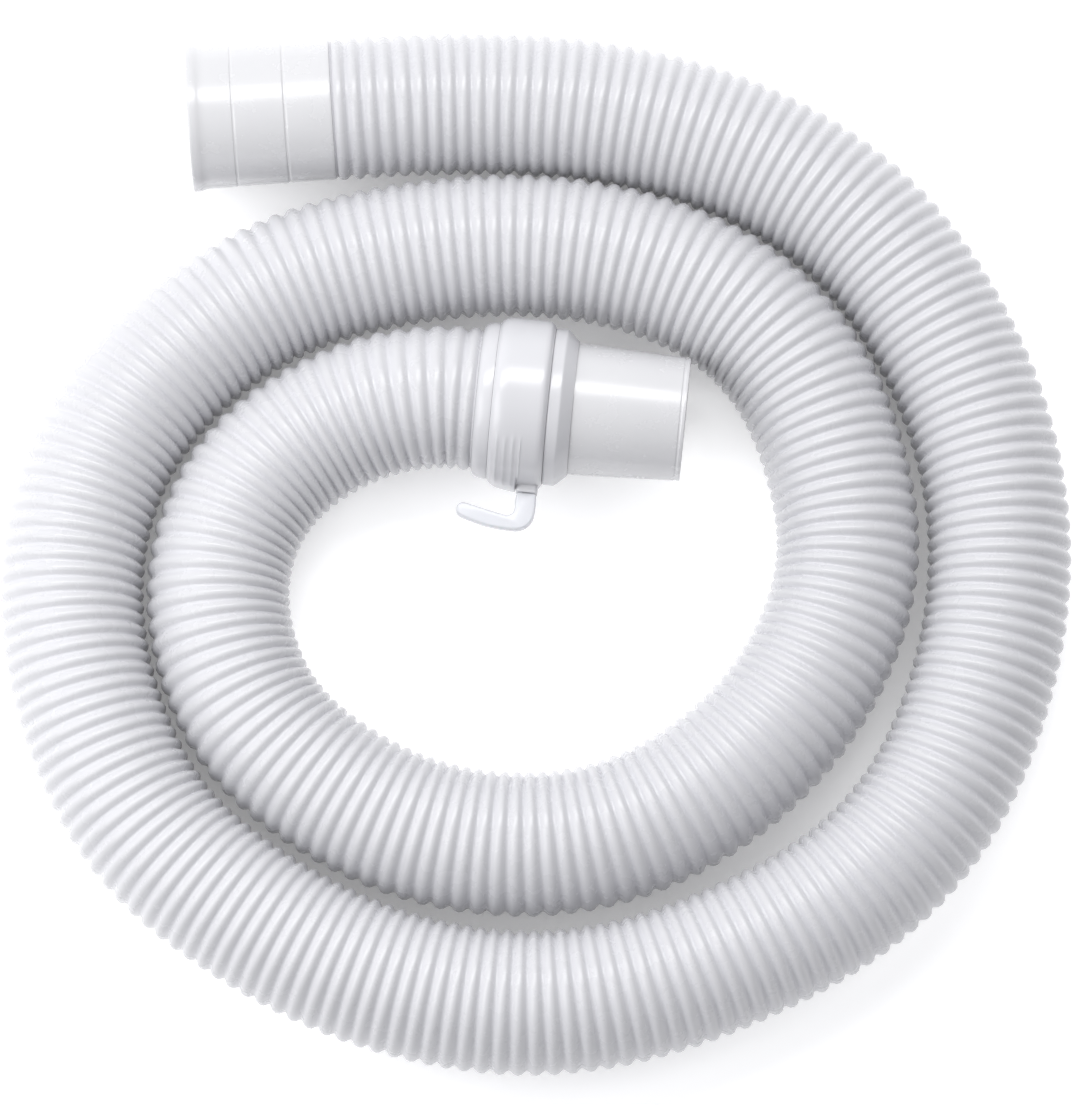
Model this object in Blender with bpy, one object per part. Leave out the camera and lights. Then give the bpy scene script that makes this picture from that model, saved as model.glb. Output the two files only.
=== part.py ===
"""Coiled pool vacuum hose: a corrugated hose with a plain cuff on one end and a swivel cuff on the other.

Metres, +Z up.  The coil lies flat on the plane z = 0 with its middle over the origin.  The plain cuff
is at the outside of the coil and the swivel cuff at the inside, with a small hook on its collar.
"""
import math

import bmesh
import bpy
import numpy as np
from mathutils import Matrix, Vector

MM = 0.001
GAP = 0.3 * MM                      # clearance between pieces that touch

# Hose: the envelope of its corrugations
HOSE_RADIUS = 24.0 * MM
HOSE_WALL = 2.6 * MM
ROUTE_SPACING = 16.0 * MM           # distance between the tube's rings
PLAIN_STRAIGHT = 17.0 * MM          # straight stretch inside each end of the hose
SWIVEL_STRAIGHT = 6.0 * MM

# Coil: where it lies and the middle line of the hose between its two straight ends, in mm
COIL_SHIFT = Vector((1.2, -2.0, 0.0))
COIL_POINTS = (
    (-36, 154.5, 24.6), (0.5, 154, 24.1), (27.5, 150.5, 24), (54.5, 143.5, 24), (83, 130.5, 24),
    (110, 109.5, 24), (132, 79, 24), (145.5, 48.5, 24), (152.5, 14.5, 24), (151.5, -22, 24),
    (143.5, -54.5, 24), (127.5, -87.5, 24), (101.5, -114.5, 24), (70.5, -132.5, 24), (37, -145.5, 24),
    (0, -151.5, 24), (-35, -148, 24), (-69.5, -136.5, 24), (-101.5, -118, 24), (-127.5, -95, 24),
    (-145.5, -63.5, 24), (-155, -27, 24), (-153.5, 10.5, 24), (-141, 42.5, 24), (-118, 70, 24),
    (-86, 91, 24), (-51, 101.5, 24), (-17, 105.5, 24), (15.5, 103.5, 24), (42, 96.5, 24),
    (67.5, 82.5, 24), (86.5, 61, 24), (98.5, 31.5, 24), (102.5, -0.5, 24), (95, -31, 24),
    (77, -59.5, 24), (50, -82.5, 24), (20, -95.5, 24), (-11.5, -98.5, 24), (-41.5, -93, 24),
    (-69, -79.5, 24), (-92.5, -58.5, 24), (-105, -31.5, 24), (-106, -1.5, 24), (-94, 24.5, 24),
    (-74.5, 41, 24.6), (-54, 49.5, 27), (-38, 52, 28.4),
)
PLAIN_END = Vector((-70.0, 152.5, 25.3))       # mm, where the hose meets the plain cuff
PLAIN_ANGLE = math.radians(183.6)              # heading of the plain cuff's mouth
SWIVEL_END = Vector((-20.8, 51.3, 28.5))       # mm, where the hose meets the swivel
SWIVEL_ANGLE = math.radians(-5.7)              # heading of the swivel cuff's mouth

# Turned pieces: each outline is (radius, distance from the hose's end face) in mm
TURN_STEPS = 36
SPIGOT_RADIUS = 20.2
PLAIN_LENGTH = 48.3
CUFF_BORE = 19.0
WATERWAY = 18.0
COLLAR_RADIUS = 28.4
COLLAR_END = 24.0
CAVITY_RADIUS = 25.6
SWIVEL_LENGTH = 69.7
NOZZLE_RADIUS = 22.0
NOZZLE_TIP_RADIUS = 20.6

# Hook: distances out from the collar's axis (radial) and along it (axial), in mm
HOOK_AXIAL = 19.4
BOSS_HALF = 3.6
BOSS_TOP = 30.6
HEAD_RADIUS, HEAD_LOW, HEAD_HIGH = 2.6, 27.2, 29.0
NECK_RADIUS = 1.9
SOCKET_CLEARANCE = 0.3
HOOK_HALF_DEPTH = 2.3

# Materials: colour, roughness
WHITE_HOSE = (0.86, 0.86, 0.89)
WHITE_CUFF = (0.88, 0.88, 0.90)
CLEAR_WHITE = (0.90, 0.91, 0.93)
BLACK_RUBBER = (0.03, 0.03, 0.03)
GREY_ACETAL = (0.55, 0.56, 0.58)


def clear_scene():
    for thing in list(bpy.data.objects):
        bpy.data.objects.remove(thing, do_unlink=True)


def plastic(name, colour, roughness):
    material = bpy.data.materials.new(name)
    material.use_nodes = True
    shader = material.node_tree.nodes["Principled BSDF"]
    shader.inputs["Base Color"].default_value = (*colour, 1.0)
    shader.inputs["Roughness"].default_value = roughness
    shader.inputs["Metallic"].default_value = 0.0
    return material


def link(name, data, material, parent=None):
    thing = bpy.data.objects.new(name, data)
    bpy.context.scene.collection.objects.link(thing)
    if material:
        data.materials.append(material)
    thing.parent = parent
    return thing


def heading(angle):
    return Vector((math.cos(angle), math.sin(angle), 0.0))


def smooth_curve(points, leave, arrive, spacing):
    """Points at an even spacing on the cubic spline that leaves and arrives in the given directions."""
    knots = np.array(points, dtype=float)
    chords = np.linalg.norm(np.diff(knots, axis=0), axis=1)
    at = np.concatenate([[0.0], np.cumsum(chords)])
    slopes = np.vstack([leave, np.diff(knots, axis=0) / chords[:, None], arrive])
    count = len(knots)
    matrix = np.zeros((count, count))
    for i in range(count):
        before = chords[i - 1] if i > 0 else 0.0
        after = chords[i] if i < count - 1 else 0.0
        matrix[i, i] = 2.0 * (before + after)
        if i > 0:
            matrix[i, i - 1] = before
        if i < count - 1:
            matrix[i, i + 1] = after
    bend = np.linalg.solve(matrix, 6.0 * np.diff(slopes, axis=0))
    stations = np.linspace(0.0, at[-1], round(at[-1] / spacing) + 1)
    span = np.clip(np.searchsorted(at, stations, side="right") - 1, 0, count - 2)
    width = chords[span][:, None]
    low = (stations - at[span])[:, None]
    high = width - low
    return (bend[span] * high ** 3 / (6.0 * width) + bend[span + 1] * low ** 3 / (6.0 * width)
            + (knots[span] / width - bend[span] * width / 6.0) * high
            + (knots[span + 1] / width - bend[span + 1] * width / 6.0) * low)


def hose_route():
    """Middle line of the hose from the plain cuff to the swivel, straight at each end."""
    start = (PLAIN_END + COIL_SHIFT) * MM
    finish = (SWIVEL_END + COIL_SHIFT) * MM
    leave, arrive = -heading(PLAIN_ANGLE), heading(SWIVEL_ANGLE)
    between = [(Vector(point) + COIL_SHIFT) * MM for point in COIL_POINTS]
    knots = [start + leave * PLAIN_STRAIGHT, *between, finish - arrive * SWIVEL_STRAIGHT]
    bent = smooth_curve(knots, leave, arrive, ROUTE_SPACING)
    return [start, *[Vector(point) for point in bent], finish]


def make_hose(material):
    route = hose_route()
    curve = bpy.data.curves.new("hose", "CURVE")
    curve.dimensions = "3D"
    curve.bevel_depth = HOSE_RADIUS
    curve.bevel_resolution = 4
    curve.use_fill_caps = False
    spline = curve.splines.new("POLY")
    spline.points.add(len(route) - 1)
    for point, place in zip(spline.points, route):
        point.co = (*place, 1.0)
    hose = link("hose", curve, material)
    wall = hose.modifiers.new("wall", "SOLIDIFY")
    wall.thickness = HOSE_WALL
    wall.offset = -1.0
    return hose


def end_frame(name, place, angle):
    """Empty on the hose's end face: its Z runs out of the mouth and its X lies level, clockwise of it."""
    frame = bpy.data.objects.new(name, None)
    bpy.context.scene.collection.objects.link(frame)
    out = heading(angle)
    side = heading(angle - math.pi / 2.0)
    axes = Matrix((side, out.cross(side), out)).transposed().to_4x4()
    frame.matrix_world = Matrix.Translation((place + COIL_SHIFT) * MM) @ axes
    bpy.context.view_layer.update()
    return frame


def turned(name, outline, material, parent):
    """Ring turned about the parent's Z; the outline goes down the outer side and up the inner side."""
    mesh = bpy.data.meshes.new(name)
    points = [(radius * MM, 0.0, along * MM) for radius, along in outline]
    edges = [(i, (i + 1) % len(points)) for i in range(len(points))]
    mesh.from_pydata(points, edges, [])
    ring = link(name, mesh, material, parent)
    screw = ring.modifiers.new("turn", "SCREW")
    screw.angle = math.tau
    screw.steps = screw.render_steps = TURN_STEPS
    screw.use_merge_vertices = True
    screw.merge_threshold = 0.00001
    screw.use_smooth_shade = True
    return ring


def cutter(name, mesh, parent):
    tool = link(name, mesh, None, parent)
    tool.hide_render = True
    tool.display_type = "WIRE"
    return tool


def combine(target, tool, operation):
    step = target.modifiers.new(tool.name, "BOOLEAN")
    step.operation = operation
    step.solver = "EXACT"
    step.object = tool


def radial_post(name, radius, low, high):
    """Closed post standing out of the collar along its X, at the hook's place."""
    mesh = bpy.data.meshes.new(name)
    body = bmesh.new()
    bmesh.ops.create_cone(body, cap_ends=True, segments=24, radius1=radius * MM,
                          radius2=radius * MM, depth=(high - low) * MM)
    turn = Matrix.Rotation(math.pi / 2.0, 4, "Y")
    bmesh.ops.transform(body, matrix=turn, verts=body.verts)
    shift = Vector(((low + high) / 2.0, 0.0, HOOK_AXIAL)) * MM
    bmesh.ops.translate(body, vec=shift, verts=body.verts)
    body.to_mesh(mesh)
    body.free()
    return mesh


def plate(name, outline, half_depth):
    """Closed plate: an outline of (radial, axial) points in mm, extruded evenly to both sides."""
    mesh = bpy.data.meshes.new(name)
    body = bmesh.new()
    ring = [body.verts.new((radial * MM, -half_depth * MM, axial * MM)) for radial, axial in outline]
    face = body.faces.new(ring)
    grown = bmesh.ops.extrude_face_region(body, geom=[face])
    moved = [item for item in grown["geom"] if isinstance(item, bmesh.types.BMVert)]
    bmesh.ops.translate(body, vec=Vector((0.0, 2.0 * half_depth * MM, 0.0)), verts=moved)
    bmesh.ops.recalc_face_normals(body, faces=body.faces)
    body.to_mesh(mesh)
    body.free()
    return mesh


def arc(centre, radius, start, end, steps):
    """Points on an arc about (radial, axial); angles in degrees from the radial direction."""
    angles = [math.radians(start + (end - start) * i / steps) for i in range(steps + 1)]
    return [(centre[0] + radius * math.cos(a), centre[1] + radius * math.sin(a)) for a in angles]


def make_plain_end(cuff_material, sleeve_material):
    frame = end_frame("plain_end_frame", PLAIN_END, PLAIN_ANGLE)
    bands = [(25.0, PLAIN_LENGTH), (25.0, 46.2), (24.1, 43.9), (24.0, 33.2), (23.8, 32.8),
             (23.8, 15.9), (23.6, 15.5), (23.6, GAP / MM)]
    bore = [(20.6, GAP / MM), (20.6, 18.2), (CUFF_BORE, 18.2), (CUFF_BORE + 0.4, PLAIN_LENGTH)]
    turned("plain_cuff", bands + bore, cuff_material, frame)
    sleeve = [(SPIGOT_RADIUS, 17.9), (SPIGOT_RADIUS, -16.0), (18.6, -16.0), (18.6, 17.9)]
    turned("cuff_sleeve", sleeve, sleeve_material, frame)


def make_collar(material, frame):
    outline = [(28.0, COLLAR_END), (COLLAR_RADIUS, 23.4), (COLLAR_RADIUS, 8.6), (27.9, 6.8), (26.7, 5.7),
               (20.9, 5.7), (20.9, 9.3), (CAVITY_RADIUS, 9.3), (CAVITY_RADIUS, COLLAR_END)]
    collar = turned("swivel_collar", outline, material, frame)
    boss_low, boss_high = HOOK_AXIAL - BOSS_HALF, HOOK_AXIAL + BOSS_HALF
    boss_outline = [(26.8, boss_low), (BOSS_TOP, boss_low), (BOSS_TOP, boss_high), (26.8, boss_high)]
    lug_outline = [(26.8, 7.6), (28.3, 7.6), (29.6, boss_low + 1.0), (26.8, boss_low + 1.0)]
    combine(collar, cutter("lug_shape", plate("lug_shape", lug_outline, 6.0), frame), "UNION")
    combine(collar, cutter("boss_shape", plate("boss_shape", boss_outline, BOSS_HALF), frame), "UNION")
    head_room = radial_post("head_room", HEAD_RADIUS + SOCKET_CLEARANCE,
                            HEAD_LOW - SOCKET_CLEARANCE, HEAD_HIGH + SOCKET_CLEARANCE)
    neck_room = radial_post("neck_room", NECK_RADIUS + SOCKET_CLEARANCE, HEAD_HIGH, BOSS_TOP + 1.0)
    combine(collar, cutter("head_room", head_room, frame), "DIFFERENCE")
    combine(collar, cutter("neck_room", neck_room, frame), "DIFFERENCE")
    return collar


def hook_outline():
    """J in the plane of the collar's axis: a shank going out, a round bend and an arm going back."""
    shank_low, shank_high = HOOK_AXIAL - 3.4, HOOK_AXIAL + 3.4
    foot = BOSS_TOP + SOCKET_CLEARANCE
    outer_bend = arc((37.0, 16.4), 6.4, 90.0, 0.0, 6)
    arm_outside = [(43.3, 11.5), (42.6, 6.0)]
    tip = arc((38.0, -1.0), 2.5, -12.0, -172.0, 5)
    arm_inside = [(37.4, 6.9)]
    inner_bend = arc((36.3, 13.6), 2.4, -6.0, 90.0, 3)
    return ([(foot, shank_low), (foot, shank_high)] + outer_bend + arm_outside + tip + arm_inside
            + inner_bend)


def make_hook(material, frame):
    """The hook's origin is on its turning axis, which stands out of the collar along the frame's X."""
    hook = link("hanging_hook", plate("hanging_hook", hook_outline(), HOOK_HALF_DEPTH), material, frame)
    head = radial_post("hook_head", HEAD_RADIUS, HEAD_LOW, HEAD_HIGH)
    neck = radial_post("hook_neck", NECK_RADIUS, HEAD_HIGH - 0.5, BOSS_TOP + SOCKET_CLEARANCE + 0.5)
    for tool in (cutter("hook_neck", neck, frame), cutter("hook_head", head, frame)):
        combine(hook, tool, "UNION")
    return hook


def make_swivel_end(cuff_material, ring_material, hook_material, seal_material, washer_material):
    frame = end_frame("swivel_end_frame", SWIVEL_END, SWIVEL_ANGLE)
    tail = [(20.6, 14.0), (20.6, 5.4), (26.0, 5.4), (26.2, 4.4), (25.9, 2.0), (24.6, GAP / MM),
            (SPIGOT_RADIUS, GAP / MM), (SPIGOT_RADIUS, -11.0), (WATERWAY, -11.0), (WATERWAY, 14.0)]
    turned("hose_tail", tail, ring_material, frame)
    make_collar(ring_material, frame)
    seal = arc((19.3, 15.5), 1.15, 0.0, -324.0, 9)
    turned("seal_ring", seal, seal_material, frame)
    cuff = [(NOZZLE_TIP_RADIUS, SWIVEL_LENGTH), (NOZZLE_RADIUS, 36.0), (NOZZLE_RADIUS, 20.0),
            (25.1, 20.0), (25.1, 17.0), (WATERWAY, 17.0), (WATERWAY, 30.0),
            (CUFF_BORE - 0.2, 31.5), (CUFF_BORE, SWIVEL_LENGTH)]
    turned("swivel_cuff", cuff, cuff_material, frame)
    washer = [(25.1, 21.3), (25.1, 20.3), (22.5, 20.3), (22.5, 21.3)]
    turned("thrust_washer", washer, washer_material, frame)
    ring = [(22.9, 32.3), (24.4, 31.4), (25.9, 29.7), (26.3, 28.3), (26.3, 24.4), (25.2, 24.4),
            (25.2, 21.6), (22.5, 21.6), (22.5, 32.3)]
    turned("retaining_ring", ring, ring_material, frame)
    make_hook(hook_material, frame)


def main():
    clear_scene()
    hose_white = plastic("hose_white", WHITE_HOSE, 0.35)
    cuff_white = plastic("cuff_white", WHITE_CUFF, 0.30)
    ring_white = plastic("ring_white", WHITE_CUFF, 0.38)
    hook_white = plastic("hook_white", CLEAR_WHITE, 0.30)
    rubber = plastic("seal_rubber", BLACK_RUBBER, 0.60)
    acetal = plastic("washer_acetal", GREY_ACETAL, 0.45)
    make_hose(hose_white)
    make_plain_end(cuff_white, ring_white)
    make_swivel_end(cuff_white, ring_white, hook_white, rubber, acetal)


main()
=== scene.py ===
"""How the coiled pool vacuum hose looks: a corrugated tube, its plain cuff, its swivel end and the studio.

Metres, +Z up.  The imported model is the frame: every detailed piece here is worked out along the route, or
about the hose end, of the CAD piece that it stands for.  Outlines of turned pieces are in millimetres.
"""
import math

import bmesh
import bpy
import numpy as np
from mathutils import Matrix, Vector


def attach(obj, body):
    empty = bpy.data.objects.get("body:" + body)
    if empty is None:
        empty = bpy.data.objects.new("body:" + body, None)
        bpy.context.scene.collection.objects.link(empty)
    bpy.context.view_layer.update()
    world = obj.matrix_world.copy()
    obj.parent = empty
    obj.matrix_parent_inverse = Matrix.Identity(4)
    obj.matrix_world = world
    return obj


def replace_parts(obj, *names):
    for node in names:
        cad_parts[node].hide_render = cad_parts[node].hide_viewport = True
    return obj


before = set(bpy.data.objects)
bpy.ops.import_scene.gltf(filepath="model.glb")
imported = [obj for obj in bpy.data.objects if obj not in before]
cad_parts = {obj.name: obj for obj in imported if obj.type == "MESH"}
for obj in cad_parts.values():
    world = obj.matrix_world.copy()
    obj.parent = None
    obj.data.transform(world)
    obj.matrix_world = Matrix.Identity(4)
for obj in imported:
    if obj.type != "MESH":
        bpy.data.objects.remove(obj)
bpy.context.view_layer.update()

MM = 0.001

# Hose: its route is the CAD hose's, and its ribs fill the CAD tube's radius
COIL_SHIFT = np.array((0.0012, -0.0020, 0.0))
COIL_POINTS = (
    (-0.036, 0.1545, 0.0246), (0.0005, 0.154, 0.0241), (0.0275, 0.1505, 0.024), (0.0545, 0.1435, 0.024),
    (0.083, 0.1305, 0.024), (0.11, 0.1095, 0.024), (0.132, 0.079, 0.024), (0.1455, 0.0485, 0.024),
    (0.1525, 0.0145, 0.024), (0.1515, -0.022, 0.024), (0.1435, -0.0545, 0.024), (0.1275, -0.0875, 0.024),
    (0.1015, -0.1145, 0.024), (0.0705, -0.1325, 0.024), (0.037, -0.1455, 0.024), (0.0, -0.1515, 0.024),
    (-0.035, -0.148, 0.024), (-0.0695, -0.1365, 0.024), (-0.1015, -0.118, 0.024),
    (-0.1275, -0.095, 0.024), (-0.1455, -0.0635, 0.024), (-0.155, -0.027, 0.024), (-0.1535, 0.0105, 0.024),
    (-0.141, 0.0425, 0.024), (-0.118, 0.07, 0.024), (-0.086, 0.091, 0.024), (-0.051, 0.1015, 0.024),
    (-0.017, 0.1055, 0.024), (0.0155, 0.1035, 0.024), (0.042, 0.0965, 0.024), (0.0675, 0.0825, 0.024),
    (0.0865, 0.061, 0.024), (0.0985, 0.0315, 0.024), (0.1025, -0.0005, 0.024), (0.095, -0.031, 0.024),
    (0.077, -0.0595, 0.024), (0.05, -0.0825, 0.024), (0.02, -0.0955, 0.024), (-0.0115, -0.0985, 0.024),
    (-0.0415, -0.093, 0.024), (-0.069, -0.0795, 0.024), (-0.0925, -0.0585, 0.024),
    (-0.105, -0.0315, 0.024), (-0.106, -0.0015, 0.024), (-0.094, 0.0245, 0.024), (-0.0745, 0.041, 0.0246),
    (-0.054, 0.0495, 0.027), (-0.038, 0.052, 0.0284),
)
PLAIN_END = np.array((-0.070, 0.1525, 0.0253))
PLAIN_ANGLE = math.radians(183.6)
SWIVEL_END = np.array((-0.0208, 0.0513, 0.0285))
SWIVEL_ANGLE = math.radians(-5.7)
PLAIN_STRAIGHT = 0.017              # straight stretch at each end, before the route starts to bend
SWIVEL_STRAIGHT = 0.006
ROUTE_STEP = 0.001
HEADING_REACH = 0.003               # how far each way the route's direction is measured
HOSE_DIAMETER = 0.048
RIB_PITCH = 0.00519
RIB_DEPTH = 0.0017
HOSE_WALL = 0.0009
HOSE_SIDES = 44
# One rib: (share of the pitch, share of the rib's depth), from the middle of one valley to the next
RIB_SHAPE = ((0.0, 0.0), (0.12, 0.24), (0.29, 0.80), (0.50, 1.0), (0.71, 0.80), (0.88, 0.24))
LAST_VALLEY = 0.6                   # the last valley at each end runs shallow into its fitting
INNER_RIBS = 24                     # ribs at each end whose inner side is shaped too
# Unevenness along the ribs: how far they stray, and its waves as (length, phase, share)
RIB_DRIFT = 0.00022
DRIFT_WAVES = ((0.0431, 0.7, 1.0), (0.0173, 2.1, 0.6))
DRIFT_FADE = 0.02                   # the stray dies away over this length at each end
HOOK_AXIAL = 19.4                   # mm from the hose's end to the hook's axis

# Turned pieces: mould parting lines and corner rounding
SEAM_HEIGHT = 0.08                  # mm
SEAM_HALF_ANGLE = 0.6               # degrees
SEAM_ROOM = 0.75                    # share of a side that is left clear each way of a seam
SAME_ANGLE = 1e-4                   # radians within which two angles are the same
LARGEST_CUT = 0.48                  # a rounding takes at most this share of each side beside it

# Camera: nearly overhead, leaning back from the coil's lower edge, and far enough off to look flat
CAMERA_TILT = math.radians(12.0)
CAMERA_DISTANCE = 2.5
VIEW_HEIGHT = 0.3683                # how much of the plane through the aim point the picture is high
AIM = COIL_SHIFT + np.array((0.0, 0.0, HOSE_DIAMETER / 2.0))
SENSOR = 36.0

# Studio: lights as (place, size, watts), aimed at the origin
KEY_LIGHT = ((-0.10, 0.62, 1.28), (1.5, 0.42), 12.0)
FILL_LIGHT = ((-0.42, -0.12, 0.40), (0.4, 0.4), 1.0)
ROOM_COLOUR = (0.97, 0.975, 1.0, 1.0)
ROOM_LEVEL = 0.80
ROOM_LEAN = (-0.36, 0.32, 0.0)      # the room is brightest on the left and behind
FLOOR_HALF = 6.0
# The floor's own light, a painted glow that washes out the hose's shadow beside it and leaves the gaps
# between the turns dark, as (how open to the sky, strength): most beside the hose, least between the turns
FLOOR_GLOW = ((0.15, 0.13), (0.45, 0.56), (0.95, 0.28))
GLOW_REACH = 0.035


# ---------------------------------------------------------------- shapes

def heading(angle):
    return np.array((math.cos(angle), math.sin(angle), 0.0))


def smooth_curve(points, leave, arrive, spacing):
    """Points at an even spacing on the cubic spline that leaves and arrives in the given directions."""
    knots = np.array(points, dtype=float)
    chords = np.linalg.norm(np.diff(knots, axis=0), axis=1)
    at = np.concatenate([[0.0], np.cumsum(chords)])
    slopes = np.vstack([leave, np.diff(knots, axis=0) / chords[:, None], arrive])
    count = len(knots)
    matrix = np.zeros((count, count))
    for i in range(count):
        before = chords[i - 1] if i > 0 else 0.0
        after = chords[i] if i < count - 1 else 0.0
        matrix[i, i] = 2.0 * (before + after)
        if i > 0:
            matrix[i, i - 1] = before
        if i < count - 1:
            matrix[i, i + 1] = after
    bend = np.linalg.solve(matrix, 6.0 * np.diff(slopes, axis=0))
    stations = np.linspace(0.0, at[-1], round(at[-1] / spacing) + 1)
    span = np.clip(np.searchsorted(at, stations, side="right") - 1, 0, count - 2)
    width = chords[span][:, None]
    low = (stations - at[span])[:, None]
    high = width - low
    return (bend[span] * high ** 3 / (6.0 * width) + bend[span + 1] * low ** 3 / (6.0 * width)
            + (knots[span] / width - bend[span] * width / 6.0) * high
            + (knots[span + 1] / width - bend[span + 1] * width / 6.0) * low)


def hose_route():
    """Closely spaced points on the middle line, from the plain cuff to the swivel."""
    start, finish = PLAIN_END + COIL_SHIFT, SWIVEL_END + COIL_SHIFT
    leave, arrive = -heading(PLAIN_ANGLE), heading(SWIVEL_ANGLE)
    between = [np.array(point) + COIL_SHIFT for point in COIL_POINTS]
    knots = [start + leave * PLAIN_STRAIGHT, *between, finish - arrive * SWIVEL_STRAIGHT]
    return np.vstack([start, smooth_curve(knots, leave, arrive, ROUTE_STEP), finish])


def link(name, mesh, body, material):
    """Adds a finished mesh to the scene as a piece that rides on a body."""
    piece = bpy.data.objects.new(name, mesh)
    bpy.context.scene.collection.objects.link(piece)
    mesh.materials.append(material)
    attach(piece, body)
    return piece


def skin(name, rows, close_rows=True, caps=False, sharp=40.0):
    """Smooth-shaded mesh over a grid of points (rows x columns); the columns always close into rings.

    With close_rows the last ring is joined to the first, and with caps both are filled in instead.  An edge
    that turns by more than sharp, in degrees, stays sharp.
    """
    count, sides, _ = rows.shape
    last = count if close_rows else count - 1
    row = np.arange(last)[:, None]
    column = np.arange(sides)[None, :]
    next_row, next_column = (row + 1) % count, (column + 1) % sides
    faces = np.stack([row * sides + column, row * sides + next_column,
                      next_row * sides + next_column, next_row * sides + column], axis=-1)
    mesh = bpy.data.meshes.new(name)
    faces = faces.reshape(-1, 4).tolist()
    if caps:
        faces += [list(range(sides))[::-1], list(range((count - 1) * sides, count * sides))]
    mesh.from_pydata(rows.reshape(-1, 3).tolist(), [], faces)
    mesh.shade_smooth()
    mesh.set_sharp_from_angle(angle=math.radians(sharp))
    return mesh


def end_frame(place, angle):
    """Matrix at a hose end: Z runs out of the mouth and X lies level, clockwise of it."""
    out = Vector(heading(angle))
    side = Vector(heading(angle - math.pi / 2.0))
    axes = Matrix((side, out.cross(side), out)).transposed().to_4x4()
    return Matrix.Translation(Vector(place + COIL_SHIFT)) @ axes


def rounded(corners, steps=4):
    """Outline with its corners rounded: each is (radius, along, how far the rounding reaches), in mm."""
    points = []
    for i, (radius, along, cut) in enumerate(corners):
        here = Vector((radius, along))
        if not cut:
            points.append(here)
            continue
        before = Vector(corners[i - 1][:2]) - here
        after = Vector(corners[(i + 1) % len(corners)][:2]) - here
        start = here + before.normalized() * min(cut, LARGEST_CUT * before.length)
        end = here + after.normalized() * min(cut, LARGEST_CUT * after.length)
        for step in range(steps + 1):
            t = step / steps
            points.append(start.lerp(here, t).lerp(here.lerp(end, t), t))
    return np.array([tuple(point) for point in points])


def dense(outline, longest):
    """The same closed outline with its long sides cut into steps of at most the given length."""
    points = []
    for here, after in zip(outline, np.roll(outline, -1, axis=0)):
        cuts = max(1, math.ceil(np.linalg.norm(after - here) / longest))
        points += [here + (after - here) * i / cuts for i in range(cuts)]
    return np.array(points)


def placed(points, place):
    """The points carried by the matrix place."""
    return points @ np.array(place.to_3x3()).T + np.array(place.translation)


def turned(name, outline, place, relief=None, sides=96, seams=()):
    """Mesh turned about the Z of place.

    relief(radius, along, angle) gives what to add to the radius, in mm and radians.  seams are the angles
    of mould parting lines, each a fine raised line down the outer side.
    """
    angles = np.linspace(0.0, math.tau, sides, endpoint=False)
    for seam in seams:
        near = np.abs((angles - seam + math.pi) % math.tau - math.pi) < math.tau / sides * SEAM_ROOM
        ridge = seam + np.radians((-SEAM_HALF_ANGLE, 0.0, SEAM_HALF_ANGLE))
        angles = np.concatenate([angles[~near], ridge])
    angles = np.sort(angles % math.tau)
    radius = np.repeat(outline[:, :1], len(angles), axis=1)
    along = np.repeat(outline[:, 1:], len(angles), axis=1)
    turn = np.repeat(angles[None, :], len(outline), axis=0)
    middle = (outline[:, 0].max() + outline[:, 0].min()) / 2.0
    for seam in seams:
        line = np.abs((turn - seam + math.pi) % math.tau - math.pi) < SAME_ANGLE
        radius = radius + np.where(line & (radius > middle), SEAM_HEIGHT, 0.0)
    if relief:
        radius = radius + relief(radius, along, turn)
    points = np.stack([radius * np.cos(turn), radius * np.sin(turn), along], axis=-1) * MM
    return skin(name, placed(points, place))


def window(value, middle, half, soft):
    """1 within half of middle, falling smoothly to 0 over soft beyond that."""
    edge = np.clip((np.abs(value - middle) - half) / soft, 0.0, 1.0)
    return 1.0 - edge * edge * (3.0 - 2.0 * edge)


# ---------------------------------------------------------------- materials

CLOUD_SHARE = 0.12                  # how much of a shaded colour's range the cloud takes
NOISE_LOW, NOISE_HIGH = 0.3, 0.7    # the stretch of a noise's values that is spread over a range


def add(nodes, kind, **inputs):
    """A new node with its inputs set; an underscore in a name stands for a space."""
    node = nodes.new(kind)
    for name, value in inputs.items():
        node.inputs[name.replace("_", " ")].default_value = value
    return node


def shade_by_attribute(nodes, links, attribute, cloud, target):
    """Drives the target by a mesh attribute, 0 to 1, shifted a little up and down by the cloud."""
    height = nodes.new("ShaderNodeAttribute")
    height.attribute_name = attribute
    mixed = nodes.new("ShaderNodeMath")
    mixed.operation = "MULTIPLY_ADD"
    mixed.inputs[1].default_value = CLOUD_SHARE
    links.new(cloud, mixed.inputs[0])
    links.new(height.outputs["Fac"], mixed.inputs[2])
    shift = nodes.new("ShaderNodeMath")
    shift.operation = "SUBTRACT"
    shift.use_clamp = True
    shift.inputs[1].default_value = CLOUD_SHARE / 2.0
    links.new(mixed.outputs["Value"], shift.inputs[0])
    links.new(shift.outputs["Value"], target)


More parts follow.
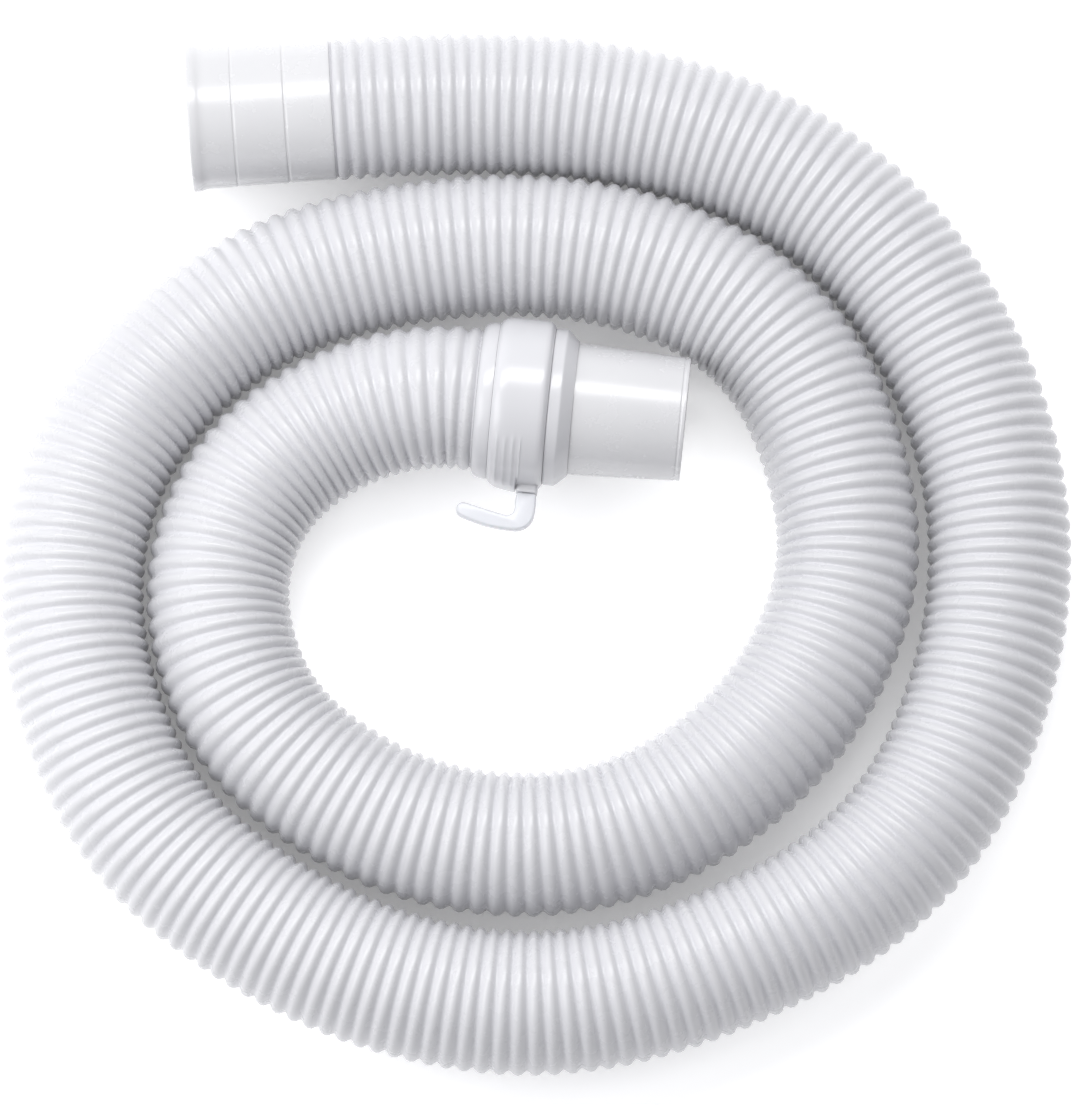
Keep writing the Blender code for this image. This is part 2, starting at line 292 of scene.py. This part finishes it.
def moulded_plastic(name, full, empty, roughness, grain, grain_depth, shade_by=None, **constants):
    """Moulded plastic: cloudy colour, uneven gloss and a faint surface grain.

    full and empty are its colours where the cloud, or the mesh attribute named by shade_by, is 1 and 0.
    roughness is (lowest, highest), grain the grain's scale and grain_depth its depth.
    """
    material = bpy.data.materials.new(name)
    material.use_nodes = True
    nodes, links = material.node_tree.nodes, material.node_tree.links
    shader = nodes["Principled BSDF"]
    for socket, value in constants.items():
        shader.inputs[socket.replace("_", " ")].default_value = value
    where = nodes.new("ShaderNodeTexCoord").outputs["Object"]

    cloud = add(nodes, "ShaderNodeTexNoise", Scale=38.0, Detail=3.0, Roughness=0.55)
    links.new(where, cloud.inputs["Vector"])
    tint = nodes.new("ShaderNodeMix")
    tint.data_type = "RGBA"
    tint.inputs["A"].default_value = (*empty, 1.0)
    tint.inputs["B"].default_value = (*full, 1.0)
    if shade_by:
        shade_by_attribute(nodes, links, shade_by, cloud.outputs["Fac"], tint.inputs["Factor"])
    else:
        links.new(cloud.outputs["Fac"], tint.inputs["Factor"])
    links.new(tint.outputs["Result"], shader.inputs["Base Color"])

    gloss = nodes.new("ShaderNodeMapRange")
    gloss.inputs["From Min"].default_value = NOISE_LOW
    gloss.inputs["From Max"].default_value = NOISE_HIGH
    gloss.inputs["To Min"].default_value = roughness[0]
    gloss.inputs["To Max"].default_value = roughness[1]
    patches = add(nodes, "ShaderNodeTexNoise", Scale=110.0, Detail=4.0, Roughness=0.6)
    links.new(where, patches.inputs["Vector"])
    links.new(patches.outputs["Fac"], gloss.inputs["Value"])
    links.new(gloss.outputs["Result"], shader.inputs["Roughness"])

    pores = add(nodes, "ShaderNodeTexNoise", Scale=grain, Detail=3.0, Roughness=0.6)
    links.new(where, pores.inputs["Vector"])
    bump = add(nodes, "ShaderNodeBump", Strength=1.0, Distance=grain_depth)
    links.new(pores.outputs["Fac"], bump.inputs["Height"])
    links.new(bump.outputs["Normal"], shader.inputs["Normal"])
    return material


def studio_floor_material():
    material = bpy.data.materials.new("studio_floor")
    material.use_nodes = True
    nodes, links = material.node_tree.nodes, material.node_tree.links
    shader = nodes["Principled BSDF"]
    shader.inputs["Roughness"].default_value = 0.75
    shader.inputs["Specular IOR Level"].default_value = 0.15
    shader.inputs["Emission Color"].default_value = (1.0, 1.0, 1.0, 1.0)
    # Painted light: the floor glows most beside the hose, where its shadow falls, and least between the turns
    open_sky = nodes.new("ShaderNodeAmbientOcclusion")
    open_sky.samples = 4
    open_sky.inputs["Distance"].default_value = GLOW_REACH
    glow = nodes.new("ShaderNodeValToRGB")
    glow.color_ramp.elements.new(0.5)
    for stop, (openness, strength) in zip(glow.color_ramp.elements, FLOOR_GLOW):
        stop.position = openness
        stop.color = (strength, strength, strength, 1.0)
    links.new(open_sky.outputs["AO"], glow.inputs["Fac"])
    links.new(glow.outputs["Color"], shader.inputs["Emission Strength"])
    noise = add(nodes, "ShaderNodeTexNoise", Scale=6.0, Detail=2.0)
    tint = nodes.new("ShaderNodeMix")
    tint.data_type = "RGBA"
    tint.inputs["A"].default_value = (0.83, 0.83, 0.835, 1.0)
    tint.inputs["B"].default_value = (0.85, 0.85, 0.855, 1.0)
    links.new(noise.outputs["Fac"], tint.inputs["Factor"])
    links.new(tint.outputs["Result"], shader.inputs["Base Color"])
    return material


# The hose's valleys are a little paler than its crests, to offset the shade that falls in them
HOSE_WHITE = moulded_plastic("hose_white", (0.54, 0.54, 0.556), (0.575, 0.575, 0.60), roughness=(0.24, 0.30),
                             grain=400.0, grain_depth=0.00001, shade_by="rib_height")
CUFF_WHITE = moulded_plastic("cuff_white", (0.60, 0.60, 0.612), (0.565, 0.565, 0.578), roughness=(0.23, 0.29),
                             grain=450.0, grain_depth=0.00001, Specular_IOR_Level=0.8)
RING_WHITE = moulded_plastic("ring_white", (0.585, 0.585, 0.605), (0.55, 0.55, 0.57), roughness=(0.20, 0.27),
                             grain=450.0, grain_depth=0.00001, Specular_IOR_Level=0.7)
HOOK_MILKY = moulded_plastic("hook_milky", (0.84, 0.85, 0.88), (0.78, 0.79, 0.83), roughness=(0.16, 0.24),
                             grain=700.0, grain_depth=0.00002, Transmission_Weight=0.4, IOR=1.46)
SEAL_RUBBER = moulded_plastic("nitrile_rubber", (0.035, 0.035, 0.036), (0.02, 0.02, 0.021),
                              roughness=(0.5, 0.68), grain=1800.0, grain_depth=0.00004)
WASHER_GREY = moulded_plastic("washer_grey", (0.58, 0.59, 0.61), (0.50, 0.51, 0.53), roughness=(0.38, 0.5),
                              grain=1400.0, grain_depth=0.00003)


# ---------------------------------------------------------------- camera

def make_camera():
    lens = bpy.data.cameras.new("camera")
    lens.sensor_fit = "VERTICAL"
    lens.sensor_height = SENSOR
    lens.lens = SENSOR * CAMERA_DISTANCE / VIEW_HEIGHT
    lens.clip_end = 50.0
    camera = bpy.data.objects.new("camera", lens)
    bpy.context.scene.collection.objects.link(camera)
    back = np.array((0.0, -math.sin(CAMERA_TILT), math.cos(CAMERA_TILT)))
    camera.location = AIM + CAMERA_DISTANCE * back
    camera.rotation_euler = (CAMERA_TILT, 0.0, 0.0)
    bpy.context.scene.camera = camera


# ---------------------------------------------------------------- pieces

def rib_rings(length, ribs):
    """Where the skin's rings stand along the hose, their rise (0 valley, 1 crest) and which are inside."""
    pitch = length / ribs
    shares, depths = np.array(RIB_SHAPE).T
    outer_at = np.append((np.arange(ribs)[:, None] + shares).ravel() * pitch, length)
    outer_rise = np.append(np.tile(depths, ribs), 0.0)
    outer_rise[[0, -1]] = LAST_VALLEY
    # The inner skin follows the ribs near both mouths, and elsewhere only every other valley
    near_end = (outer_at < INNER_RIBS * pitch) | (outer_at > length - INNER_RIBS * pitch)
    every_other = np.arange(len(outer_at)) % (2 * len(RIB_SHAPE)) == 0
    inner = np.flatnonzero(near_end | every_other)[::-1]
    stations = np.concatenate([outer_at, outer_at[inner]])
    rise = np.concatenate([outer_rise, outer_rise[inner]])
    inside = np.arange(len(stations)) >= len(outer_at)
    # The ribs of a bent hose are never quite even: each stands a little nearer one neighbour
    drift = RIB_DRIFT * sum(share * np.sin(stations / wave + phase) for wave, phase, share in DRIFT_WAVES)
    drift *= np.clip(np.minimum(stations, length - stations) / DRIFT_FADE, 0.0, 1.0)
    return stations + drift, rise, inside


def make_hose():
    """Corrugated tube: the ribs outside, their inner side near each mouth, one closed skin."""
    route = hose_route()
    steps = np.linalg.norm(np.diff(route, axis=0), axis=1)
    at = np.concatenate([[0.0], np.cumsum(steps)])
    length = at[-1]
    ribs = round(length / RIB_PITCH)

    def places(stations):
        return np.stack([np.interp(stations, at, route[:, axis]) for axis in range(3)], axis=-1)

    stations, rise, inside = rib_rings(length, ribs)
    radius = HOSE_DIAMETER / 2.0 - RIB_DEPTH * (1.0 - rise) - np.where(inside, HOSE_WALL, 0.0)
    middle = places(stations)
    ahead = places(np.minimum(stations + HEADING_REACH, length))
    behind = places(np.maximum(stations - HEADING_REACH, 0.0))
    along = (ahead - behind) / np.linalg.norm(ahead - behind, axis=1, keepdims=True)
    side = np.cross(along, (0.0, 0.0, 1.0))
    side /= np.linalg.norm(side, axis=1, keepdims=True)
    up = np.cross(side, along)
    turn = np.linspace(0.0, math.tau, HOSE_SIDES, endpoint=False)
    ring = np.cos(turn)[None, :, None] * side[:, None, :] + np.sin(turn)[None, :, None] * up[:, None, :]
    mesh = skin("hose_tube", middle[:, None, :] + radius[:, None, None] * ring, sharp=75.0)
    height = mesh.attributes.new("rib_height", "FLOAT", "POINT")
    height.data.foreach_set("value", np.repeat(rise, HOSE_SIDES).astype(np.float32))
    hose = link("hose_tube", mesh, "hose_body", HOSE_WHITE)
    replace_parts(hose, "hose")
    return hose, places(np.linspace(0.0, length, ribs + 1)), length


def make_plain_cuff(place):
    """Cuff in three steps with a fine groove between them and a thicker lip round its mouth."""
    outline = rounded((
        (25.0, 48.3, 0.7), (25.0, 46.0, 1.2), (24.1, 43.6, 2.0), (24.0, 33.7, 0.3), (23.75, 33.4, 0.2),
        (23.75, 32.9, 0.2), (23.9, 32.6, 0.3), (23.8, 16.3, 0.3), (23.45, 15.9, 0.2), (23.45, 15.4, 0.2),
        (23.65, 15.1, 0.3), (23.6, 0.7, 0.5), (23.4, 0.05, 0.1), (20.6, 0.05, 0.2), (20.6, 18.2, 0.0),
        (19.0, 18.2, 0.2), (19.4, 46.9, 0.4), (20.0, 48.3, 0.4)))
    cuff = link("plain_cuff_moulding", turned("plain_cuff", outline, place, seams=(0.0, math.pi)),
                "hose_body", CUFF_WHITE)
    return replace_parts(cuff, "plain_cuff")


def make_tail(place):
    """The rounded shoulder between hose and collar, with a spigot each way."""
    outline = rounded((
        (20.6, 14.0, 0.4), (20.6, 5.4, 0.2), (26.1, 5.4, 0.1), (26.2, 4.6, 0.5), (25.8, 1.6, 1.6),
        (24.2, 0.05, 0.8), (20.2, 0.05, 0.1), (20.2, -11.0, 0.3), (18.0, -11.0, 0.3), (18.0, 14.0, 0.3)))
    tail = link("hose_tail_moulding", turned("hose_tail", outline, place), "hose_body",
                RING_WHITE)
    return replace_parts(tail, "hose_tail")


def collar_relief(radius, along, angle):
    """The lug that climbs to the hook's boss, with short grip ribs beside it."""
    outside = window(radius, 28.4, 1.6, 0.6)
    turn = (angle + math.pi) % math.tau - math.pi
    lug_height, lug_start, lug_run = 1.5, 6.6, 9.0
    lug = lug_height * np.clip((along - lug_start) / lug_run, 0.0, 1.0)
    lug = lug * window(turn, 0.0, math.radians(8.0), math.radians(13.0)) * window(along, 9.0, 6.2, 0.5)
    grip_height, grip_start, grip_pitch = 0.28, 8.3, 2.7
    grip = grip_height * np.maximum(0.0, np.cos((along - grip_start) / grip_pitch * math.tau))
    grip = grip * window(along, 11.6, 4.6, 0.4)
    sector = window(turn, math.radians(-30.0), math.radians(20.0), math.radians(6.0))
    return outside * (lug + sector * grip)


def about_hook(place):
    """Matrix on the collar's axis at the hook: Z stands out towards the hook, X runs to the mouth."""
    axes = Matrix(((0, 0, 1), (0, -1, 0), (1, 0, 0))).transposed().to_4x4()
    return place @ Matrix.Translation((0.0, 0.0, HOOK_AXIAL * MM)) @ axes


def joined(name, *meshes):
    """One mesh made of several closed skins."""
    whole = bmesh.new()
    for mesh in meshes:
        whole.from_mesh(mesh)
        bpy.data.meshes.remove(mesh)
    body = bpy.data.meshes.new(name)
    whole.to_mesh(body)
    whole.free()
    return body


def make_boss(place):
    """Square boss with soft edges and the socket that the hook's stud snaps into."""
    outline = rounded(((3.6, 27.0, 0.0), (3.6, 30.6, 0.5), (2.2, 30.6, 0.2), (2.2, 29.6, 0.0),
                       (2.9, 29.6, 0.0), (2.9, 28.5, 0.0), (2.9, 27.0, 0.0)))
    squareness, socket_edge = 7.0, 2.95     # the socket stays round; what is wider than it is square
    turn = np.linspace(0.0, math.tau, 64, endpoint=False)[None, :]
    square = (np.abs(np.cos(turn)) ** squareness + np.abs(np.sin(turn)) ** squareness) ** (-1.0 / squareness)
    radius = outline[:, :1] * np.where(outline[:, :1] > socket_edge, square, 1.0)
    along = outline[:, 1:] + 0.0 * turn
    points = np.stack([radius * np.cos(turn), radius * np.sin(turn), along], axis=-1) * MM
    return skin("hook_boss", placed(points, about_hook(place)))


def make_collar(place):
    """The wide band with its lug and grip ribs, and the hook's boss."""
    outline = dense(rounded((
        (26.4, 24.0, 0.2), (28.0, 22.9, 0.7), (28.4, 21.6, 0.7), (28.4, 8.9, 1.6), (27.6, 6.5, 1.4),
        (26.15, 5.45, 0.1), (20.9, 5.45, 0.2), (20.9, 9.3, 0.0), (25.6, 9.3, 0.0), (25.6, 24.0, 0.2))),
        longest=0.45)
    band = turned("collar_band", outline, place, relief=collar_relief, sides=144)
    mesh = joined("swivel_collar", band, make_boss(place))
    collar = link("swivel_collar_moulding", mesh, "hose_body", RING_WHITE)
    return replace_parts(collar, "swivel_collar")


def bend_points(middle, radius, start, end, steps):
    """Points on a bend about (out, along); angles in degrees from the direction out of the collar."""
    angles = np.radians(np.linspace(start, end, steps + 1))
    return [(middle[0] + radius * math.cos(a), middle[1] + radius * math.sin(a)) for a in angles]


def make_hook(place):
    """Flat J with softly rounded edges, on a stud that sits in the boss; (out, along) in mm."""
    half_width, foot = 3.4, 30.65
    low, high = HOOK_AXIAL - half_width, HOOK_AXIAL + half_width
    outline = [(foot, low + 0.4), (foot, high - 0.4), (foot + 0.4, high), (33.5, high + 0.1)]
    outline += bend_points((37.0, 16.4), 6.4, 84.0, 0.0, 14) + [(43.3, 11.5), (42.6, 6.0)]
    outline += bend_points((38.0, -1.0), 2.5, -12.0, -172.0, 14) + [(37.4, 6.9)]
    outline += bend_points((36.3, 13.6), 2.4, -6.0, 90.0, 10) + [(33.5, low - 0.1), (foot + 0.4, low)]
    edge = dense(np.array(outline), longest=0.5)
    smoothing_passes = 6
    for _ in range(smoothing_passes):
        edge = 0.25 * np.roll(edge, 1, axis=0) + 0.5 * edge + 0.25 * np.roll(edge, -1, axis=0)
    ahead = np.roll(edge, -1, axis=0) - np.roll(edge, 1, axis=0)
    inward = np.stack([ahead[:, 1], -ahead[:, 0]], axis=-1) / np.linalg.norm(ahead, axis=1, keepdims=True)
    # One side's layers as (depth from the middle, how far the edge is cut back); the other side mirrors them
    side_layers = ((1.4, 0.0), (1.9, 0.18), (2.18, 0.5), (2.3, 0.9))
    layers = [(-depth, cut) for depth, cut in side_layers[::-1]] + [(0.0, -0.02)] + list(side_layers)
    # The foot keeps its edges nearly sharp, to meet the boss
    foot_cut, foot_fade = 0.12, 1.4
    ease = np.clip((edge[:, 0] - foot) / foot_fade, foot_cut, 1.0)
    rows = [np.stack([edge[:, 0] + cut * ease * inward[:, 0], np.full(len(edge), depth),
                      edge[:, 1] + cut * ease * inward[:, 1]], axis=-1) for depth, cut in layers]
    rows = np.array(rows) * MM
    plate = skin("hook_plate", placed(rows, place), close_rows=False, caps=True)
    stud = rounded((
        (1.9, 31.3, 0.1), (0.3, 31.3, 0.0), (0.3, 28.6, 0.0), (2.6, 28.6, 0.2), (2.6, 29.3, 0.2),
        (1.9, 29.3, 0.1)))
    mesh = joined("hanging_hook", plate, turned("hook_stud", stud, about_hook(place), sides=32))
    hook = link("hanging_hook_moulding", mesh, "hook_body", HOOK_MILKY)
    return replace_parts(hook, "hanging_hook")


def make_swivel_cuff(place):
    """The tapering cuff, with a fine groove at its mouth and the flange that holds it in the collar."""
    outline = rounded((
        (20.5, 69.7, 0.35), (20.62, 68.6, 0.2), (20.42, 68.3, 0.15), (20.42, 67.9, 0.15), (20.66, 67.6, 0.2),
        (22.0, 36.0, 3.0), (22.0, 20.0, 0.0), (25.1, 20.0, 0.3), (25.1, 17.0, 0.3), (18.0, 17.0, 0.3),
        (18.0, 30.0, 0.3), (18.8, 31.5, 0.5), (19.0, 68.6, 0.4), (19.6, 69.7, 0.4)))
    cuff = link("swivel_cuff_moulding", turned("swivel_cuff", outline, place, seams=(0.0, math.pi)),
                "swivel_body", CUFF_WHITE)
    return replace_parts(cuff, "swivel_cuff")


def make_retaining_ring(place):
    """The narrow ring with its chamfer, and the spigot that goes into the collar."""
    outline = rounded((
        (22.5, 32.1, 0.1), (22.6, 32.1, 0.1), (25.9, 28.5, 0.5), (26.3, 27.9, 0.5), (26.3, 24.6, 0.4),
        (26.0, 24.05, 0.2), (25.2, 24.05, 0.1), (25.2, 21.6, 0.2), (22.5, 21.6, 0.2)))
    ring = link("retaining_ring_moulding", turned("retaining_ring", outline, place), "hose_body",
                RING_WHITE)
    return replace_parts(ring, "retaining_ring")


# ---------------------------------------------------------------- studio

def area_light(name, place, size, watts):
    """Rectangular lamp that shines on the origin and isn't seen itself."""
    lamp = bpy.data.lights.new(name, "AREA")
    lamp.shape = "RECTANGLE"
    lamp.size, lamp.size_y = size
    lamp.energy = watts
    light = bpy.data.objects.new(name, lamp)
    bpy.context.scene.collection.objects.link(light)
    light.location = place
    light.rotation_euler = (-Vector(place)).to_track_quat("-Z", "Y").to_euler()
    light.visible_camera = False


def make_floor():
    mesh = bpy.data.meshes.new("studio_floor")
    corners = [(x * FLOOR_HALF, y * FLOOR_HALF, 0) for x, y in ((-1, -1), (1, -1), (1, 1), (-1, 1))]
    mesh.from_pydata(corners, [], [(0, 1, 2, 3)])
    floor = bpy.data.objects.new("studio_floor", mesh)
    bpy.context.scene.collection.objects.link(floor)
    mesh.materials.append(studio_floor_material())


def make_room():
    """Soft light from all round, a little stronger on one side."""
    world = bpy.data.worlds.new("studio")
    bpy.context.scene.world = world
    world.use_nodes = True
    nodes, links = world.node_tree.nodes, world.node_tree.links
    sky = nodes["Background"]
    sky.inputs["Color"].default_value = ROOM_COLOUR
    lean = nodes.new("ShaderNodeVectorMath")
    lean.operation = "DOT_PRODUCT"
    lean.inputs[1].default_value = ROOM_LEAN
    links.new(nodes.new("ShaderNodeTexCoord").outputs["Generated"], lean.inputs[0])
    level = nodes.new("ShaderNodeMath")
    level.operation = "ADD"
    level.inputs[1].default_value = ROOM_LEVEL
    links.new(lean.outputs["Value"], level.inputs[0])
    links.new(level.outputs["Value"], sky.inputs["Strength"])


def make_studio():
    make_floor()
    make_room()
    area_light("key", *KEY_LIGHT)
    area_light("fill", *FILL_LIGHT)
    bpy.context.scene.view_settings.view_transform = "Standard"


# ---------------------------------------------------------------- making

make_camera()
hose, hose_middle, hose_length = make_hose()
plain_place = end_frame(PLAIN_END, PLAIN_ANGLE)
swivel_place = end_frame(SWIVEL_END, SWIVEL_ANGLE)
fittings = [make_plain_cuff(plain_place), make_tail(swivel_place), make_collar(swivel_place),
            make_swivel_cuff(swivel_place), make_retaining_ring(swivel_place), make_hook(swivel_place)]
inner_pieces = (("cuff_sleeve", RING_WHITE), ("seal_ring", SEAL_RUBBER), ("thrust_washer", WASHER_GREY))
for node, material in inner_pieces:
    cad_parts[node].data.materials.clear()
    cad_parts[node].data.materials.append(material)
make_studio()
